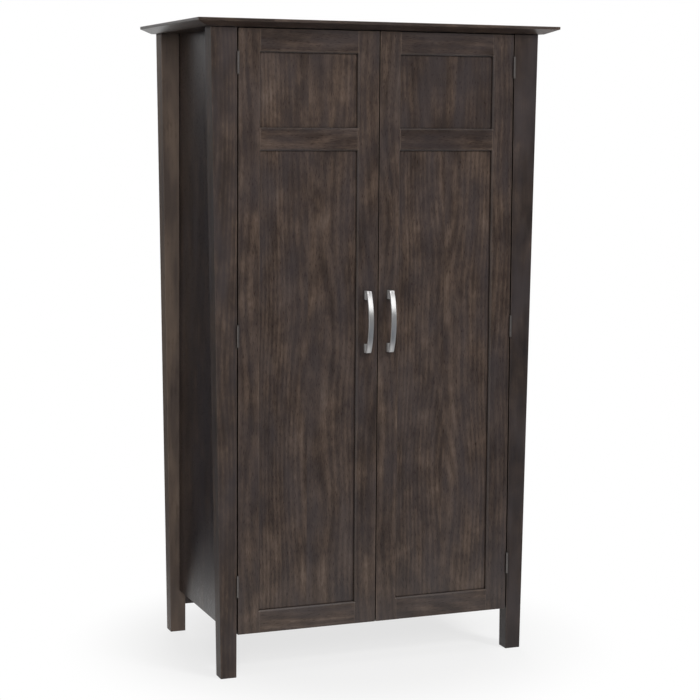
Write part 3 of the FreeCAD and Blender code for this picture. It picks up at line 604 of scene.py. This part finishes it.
# %% [markdown]
# Lacquer and metal show the room they stand in, and a dark piece in an all-white room turns milky. A
# photographer hangs dark cloth where the camera can't see it, so that the polished faces have something
# dark to reflect: one piece in front on the right, which the doors and pulls show, one behind on the left,
# which the side shows, and one overhead, which darkens the ends of the pulls. Each is a profile in Y and Z,
# drawn out along X. Only reflections see them, so they take no light away and throw no shadow. White paper
# is left between them, and edges that face left catch a bright line from it.

# %% Hang the dark cloth
ON_PAPER = 0.003
COTTON_ROUGHNESS = 1.0
CLOTHS = {
    "front_cloth": {"across": (-1.2, 9.0), "grey": "#878c94",
                    "profile": ((-1.2, ON_PAPER), (-9.0, ON_PAPER), (-9.0, 3.2))},
    "rear_cloth": {"across": (-6.0, -0.7), "grey": "#4e545f",
                   "profile": ((0.5, ON_PAPER), (6.0, ON_PAPER), (6.0, 2.0))},
    "overhead_cloth": {"across": (-1.5, 6.0), "grey": "#8c8c91",
                       "profile": ((-2.9, 6.0), (-6.3, 6.0))},
}

for name, cloth in CLOTHS.items():
    cotton, tree, surface = new_material("dyed_cotton_" + name)
    surface.inputs["Base Color"].default_value = linear(cloth["grey"])
    surface.inputs["Roughness"].default_value = COTTON_ROUGHNESS
    surface.inputs["Specular IOR Level"].default_value = 0.0
    left, right = cloth["across"]
    corners = [(x, y, z) for y, z in cloth["profile"] for x in (left, right)]
    strips = [(row, row + 1, row + 3, row + 2) for row in range(0, len(corners) - 2, 2)]
    sheet = bpy.data.meshes.new(name)
    sheet.from_pydata(corners, [], strips)
    sheet.materials.append(cotton)
    hung = bpy.data.objects.new(name, sheet)
    bpy.context.scene.collection.objects.link(hung)
    hung.visible_camera = False
    hung.visible_diffuse = False
    hung.visible_shadow = False
    print(name, "of", len(strips), "strips")

# %% [markdown]
# Soft lamps do the rest, as in a furniture catalogue. The broad one stands behind the camera and lights
# everything that faces forward, even the rear post that shows past the side. The key comes from high on the
# right and draws a thin shadow along the top and the right of each door panel, which a weak fill lamp below
# it softens. None of these three shows in reflections: the key's small bright square would burn out the
# pulls, and the broad one would burn out the top for anyone who looks from behind. The one above brightens
# the top and the edges that face up, and the one at the rear is for the back. Metal shows only what it
# reflects, so the pulls have a large weak lamp of their own, which makes the highlight on their upper half.
# A photographer would shade everything else from it with cards. Light linking does the same: the lamp
# reaches only what is in its collection.

# %% Set the lamps
AIM = Vector((0.0, -0.2, 0.95))
LAMPS = {
    "broad_softbox": {"at": (-2.6, -6.8, 3.4), "size": (2.6, 2.2), "watts": 205, "in_reflections": False},
    "key_softbox": {"at": (3.3, -5.4, 5.2), "size": (1.4, 1.4), "watts": 175, "in_reflections": False},
    "fill_softbox": {"at": (2.5, -5.1, 3.45), "size": (2.4, 2.0), "watts": 45, "in_reflections": False},
    "pull_softbox": {"at": (2.2, -4.6, 2.95), "size": (2.4, 2.0), "watts": 46, "in_reflections": True},
    "top_softbox": {"at": (1.6, -1.0, 5.2), "size": (3.0, 1.6), "watts": 40, "in_reflections": True},
    "rear_softbox": {"at": (1.4, 6.4, 3.2), "size": (2.6, 2.2), "watts": 130, "in_reflections": False},
}
for name, lamp in LAMPS.items():
    light = bpy.data.lights.new(name, "AREA")
    light.shape = "RECTANGLE"
    light.size, light.size_y = lamp["size"]
    light.energy = lamp["watts"]
    holder = bpy.data.objects.new(name, light)
    bpy.context.scene.collection.objects.link(holder)
    holder.location = lamp["at"]
    holder.visible_glossy = lamp["in_reflections"]
    holder.rotation_euler = (AIM - holder.location).to_track_quat("-Z", "Y").to_euler()
    print(name, round((AIM - holder.location).length, 2), "m away")

pulls_only = bpy.data.collections.new("pulls_only")
for name in by_slot["brushed_nickel"]:
    pulls_only.objects.link(frame["nodes"][name])
bpy.data.objects["pull_softbox"].light_linking.receiver_collection = pulls_only

# %% [markdown]
# The camera stands where the photographer stood: in front, to the left of the doors and at eye level,
# looking slightly down through a long lens. It was set by matching corners of the armoire with the same
# corners in the picture, so its place, turn and lens are measured values.

# %% Place the camera
CAMERA_AT = (-2.040, -5.244, 1.620)
TURN_RIGHT = math.radians(21.404)
TILT_DOWN = math.radians(5.607)
ROLL = math.radians(0.402)
LENS_MM = 94.26
FRAME_SHIFT = -0.07

view = bpy.data.cameras.new("catalogue_view")
view.lens = LENS_MM
view.shift_y = FRAME_SHIFT
camera = bpy.data.objects.new("catalogue_view", view)
bpy.context.scene.collection.objects.link(camera)
camera.matrix_world = (Matrix.Translation(CAMERA_AT) @ Matrix.Rotation(-TURN_RIGHT, 4, "Z")
                       @ Matrix.Rotation(QUARTER - TILT_DOWN, 4, "X") @ Matrix.Rotation(ROLL, 4, "Z"))
bpy.context.scene.camera = camera
bpy.context.scene.view_settings.view_transform = "Standard"
print("camera", round((camera.location - AIM).length, 2), "m from the armoire")
